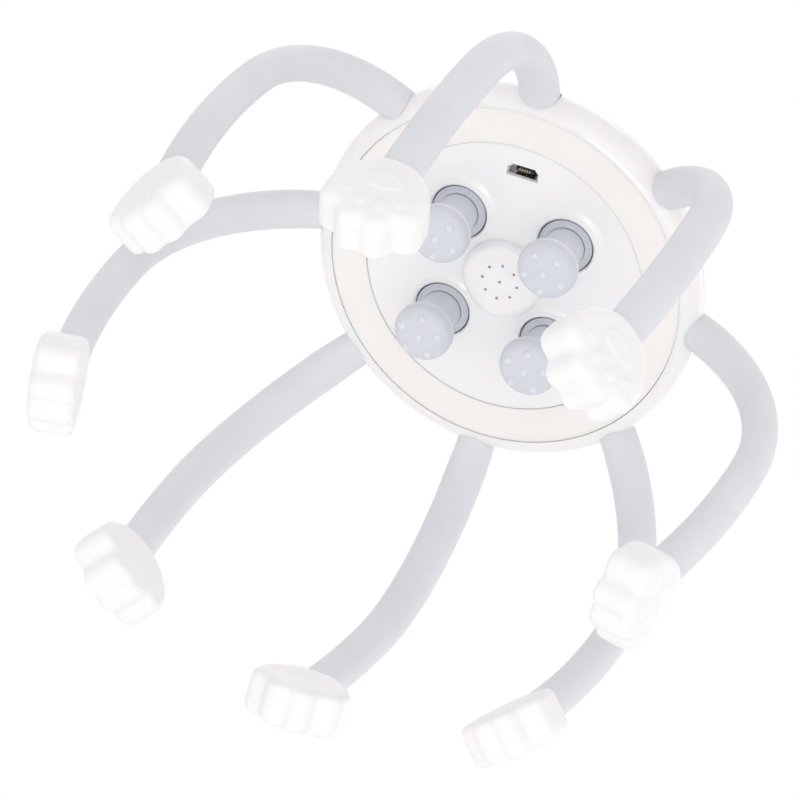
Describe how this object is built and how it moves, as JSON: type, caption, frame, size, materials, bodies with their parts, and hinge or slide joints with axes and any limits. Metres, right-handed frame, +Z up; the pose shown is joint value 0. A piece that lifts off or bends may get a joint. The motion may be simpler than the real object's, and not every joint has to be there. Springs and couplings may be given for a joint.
{
  "type": "electric scalp massager",
  "caption": "Rechargeable scalp massager: a domed round housing with a power button, gear-driven kneading heads underneath and long springy arms that end in paw-shaped silicone tips.",
  "frame": {"origin": "on the surface the massager stands on, under the middle of the housing", "axes": "+Z up along the housing's middle, from the paws to the power button; -Y towards the charging socket; +X to the right seen from -Y"},
  "size_m": [0.1736, 0.1736, 0.1529],
  "materials": {
    "shell_white": "glossy moulded white",
    "ring_white": "glossy moulded warm white",
    "plate_white": "glossy moulded warm white",
    "inner_plastic": "plain moulded nylon",
    "steel": "drawn and cut steel",
    "motor_steel": "pressed steel",
    "cell_foil": "dull pouch foil",
    "foam": "grey foam tape",
    "board_green": "green solder mask",
    "switch_black": "black moulded plastic",
    "lamp_yellow": "clear lamp body",
    "light_clear": "frosted clear plastic",
    "port_steel": "tinned steel",
    "bush_bronze": "sintered bronze",
    "arm_silicone": "satin pale grey silicone",
    "button_grey": "glossy pale grey",
    "plunger_red": "moulded plastic",
    "gear_cream": "plain acetal",
    "spindle_grey": "satin pale blue-grey",
    "head_silicone": "satin blue-grey silicone",
    "paw_silicone": "glossy white silicone"
  },
  "bodies": {
    "housing": {"top_shell": "shell_white", "bottom_ring": "ring_white", "base_plate": "plate_white", "gear_frame": "inner_plastic", "frame_screws": "steel", "ring_screws": "steel", "anchor_ring": "inner_plastic", "motor_can": "motor_steel", "motor_gearbox": "motor_steel", "battery_cell": "cell_foil", "battery_pad": "foam", "control_board": "board_green", "board_screws": "steel", "tact_switch": "switch_black", "status_lights": "lamp_yellow", "light_ring": "light_clear", "usb_shell": "port_steel", "usb_tongue": "switch_black", "usb_board": "board_green", "sounder": "switch_black", "spindle_bushes": "bush_bronze", "arm_roots": "arm_silicone", "wire_roots": "steel"},
    "button": {"power_button": "button_grey", "switch_plunger": "plunger_red"},
    "drive": {"drive_gear": "gear_cream", "motor_shaft": "steel"},
    "head_1": {"head_spindle_1": "spindle_grey", "head_cap_1": "head_silicone"},
    "head_2": {"head_spindle_2": "spindle_grey", "head_cap_2": "head_silicone"},
    "head_3": {"head_spindle_3": "spindle_grey", "head_cap_3": "head_silicone"},
    "head_4": {"head_spindle_4": "spindle_grey", "head_cap_4": "head_silicone"},
    "arm_1": {"arm_tube_1": "arm_silicone", "arm_wire_1": "steel", "paw_1": "paw_silicone"},
    "arm_2": {"arm_tube_2": "arm_silicone", "arm_wire_2": "steel", "paw_2": "paw_silicone"},
    "arm_3": {"arm_tube_3": "arm_silicone", "arm_wire_3": "steel", "paw_3": "paw_silicone"},
    "arm_4": {"arm_tube_4": "arm_silicone", "arm_wire_4": "steel", "paw_4": "paw_silicone"},
    "arm_5": {"arm_tube_5": "arm_silicone", "arm_wire_5": "steel", "paw_5": "paw_silicone"},
    "arm_6": {"arm_tube_6": "arm_silicone", "arm_wire_6": "steel", "paw_6": "paw_silicone"},
    "arm_7": {"arm_tube_7": "arm_silicone", "arm_wire_7": "steel", "paw_7": "paw_silicone"},
    "arm_8": {"arm_tube_8": "arm_silicone", "arm_wire_8": "steel", "paw_8": "paw_silicone"}
  },
  "joints": [
    {"name": "drive_spin", "type": "hinge", "parent": "housing", "child": "drive", "pos_m": [0, 0, 0.12653], "axis": [0, 0, 1], "continuous": true},
    {"name": "head_1_spin", "type": "hinge", "parent": "housing", "child": "head_1", "pos_m": [0.01443, 0.01443, 0.12653], "axis": [0, 0, 1], "continuous": true},
    {"name": "head_2_spin", "type": "hinge", "parent": "housing", "child": "head_2", "pos_m": [-0.01443, 0.01443, 0.12653], "axis": [0, 0, 1], "continuous": true},
    {"name": "head_3_spin", "type": "hinge", "parent": "housing", "child": "head_3", "pos_m": [-0.01443, -0.01443, 0.12653], "axis": [0, 0, 1], "continuous": true},
    {"name": "head_4_spin", "type": "hinge", "parent": "housing", "child": "head_4", "pos_m": [0.01443, -0.01443, 0.12653], "axis": [0, 0, 1], "continuous": true},
    {"name": "button_press", "type": "slide", "parent": "housing", "child": "button", "axis": [0, 0, -1], "range_m": [0, 0.0006], "stiffness_N_per_m": 400},
    {"name": "arm_1_flex", "type": "hinge", "parent": "housing", "child": "arm_1", "pos_m": [0.05971, 0, 0.11823], "axis": [0, -1, 0], "range_deg": [-6, 20], "stiffness_Nm_per_rad": 0.4, "deforming": ["arm_roots", "wire_roots"]},
    {"name": "arm_2_flex", "type": "hinge", "parent": "housing", "child": "arm_2", "pos_m": [0.04222, 0.04222, 0.11823], "axis": [0.7071, -0.7071, 0], "range_deg": [-6, 20], "stiffness_Nm_per_rad": 0.4, "deforming": ["arm_roots", "wire_roots"]},
    {"name": "arm_3_flex", "type": "hinge", "parent": "housing", "child": "arm_3", "pos_m": [0, 0.05971, 0.11823], "axis": [1, 0, 0], "range_deg": [-6, 20], "stiffness_Nm_per_rad": 0.4, "deforming": ["arm_roots", "wire_roots"]},
    {"name": "arm_4_flex", "type": "hinge", "parent": "housing", "child": "arm_4", "pos_m": [-0.04222, 0.04222, 0.11823], "axis": [0.7071, 0.7071, 0], "range_deg": [-6, 20], "stiffness_Nm_per_rad": 0.4, "deforming": ["arm_roots", "wire_roots"]},
    {"name": "arm_5_flex", "type": "hinge", "parent": "housing", "child": "arm_5", "pos_m": [-0.05971, 0, 0.11823], "axis": [0, 1, 0], "range_deg": [-6, 20], "stiffness_Nm_per_rad": 0.4, "deforming": ["arm_roots", "wire_roots"]},
    {"name": "arm_6_flex", "type": "hinge", "parent": "housing", "child": "arm_6", "pos_m": [-0.04222, -0.04222, 0.11823], "axis": [-0.7071, 0.7071, 0], "range_deg": [-6, 20], "stiffness_Nm_per_rad": 0.4, "deforming": ["arm_roots", "wire_roots"]},
    {"name": "arm_7_flex", "type": "hinge", "parent": "housing", "child": "arm_7", "pos_m": [0, -0.05971, 0.11823], "axis": [-1, 0, 0], "range_deg": [-6, 20], "stiffness_Nm_per_rad": 0.4, "deforming": ["arm_roots", "wire_roots"]},
    {"name": "arm_8_flex", "type": "hinge", "parent": "housing", "child": "arm_8", "pos_m": [0.04222, -0.04222, 0.11823], "axis": [-0.7071, -0.7071, 0], "range_deg": [-6, 20], "stiffness_Nm_per_rad": 0.4, "deforming": ["arm_roots", "wire_roots"]}
  ],
  "couplings": [
    {"joint": "head_1_spin", "follows": "drive_spin", "ratio": -0.59375},
    {"joint": "head_2_spin", "follows": "drive_spin", "ratio": -0.59375},
    {"joint": "head_3_spin", "follows": "drive_spin", "ratio": -0.59375},
    {"joint": "head_4_spin", "follows": "drive_spin", "ratio": -0.59375}
  ]
}
